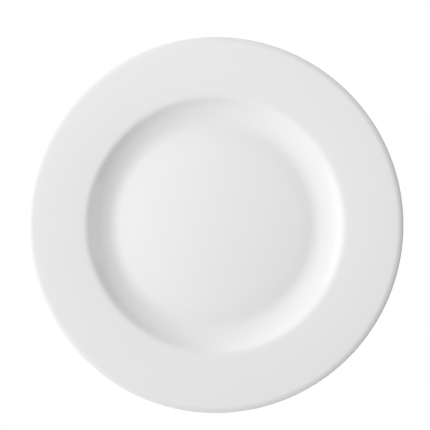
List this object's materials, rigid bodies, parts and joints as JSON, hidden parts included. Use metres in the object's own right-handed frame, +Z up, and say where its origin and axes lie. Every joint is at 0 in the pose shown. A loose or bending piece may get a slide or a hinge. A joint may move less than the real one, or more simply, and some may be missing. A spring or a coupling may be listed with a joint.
{
  "type": "flat plate",
  "caption": "Round flat plate with a level well, a swept wall, a wide raised rim with an eased lip, and a foot ring, for serving food.",
  "frame": {"origin": "centre of the foot ring, on the surface that the plate stands on", "axes": "+Z up along the plate's axis of revolution, out of the well; X and Y are level and alike"},
  "size_m": [0.27, 0.27, 0.0231],
  "materials": {
    "white_glaze": "gloss"
  },
  "bodies": {
    "root": {"plate": "white_glaze"}
  },
  "joints": []
}
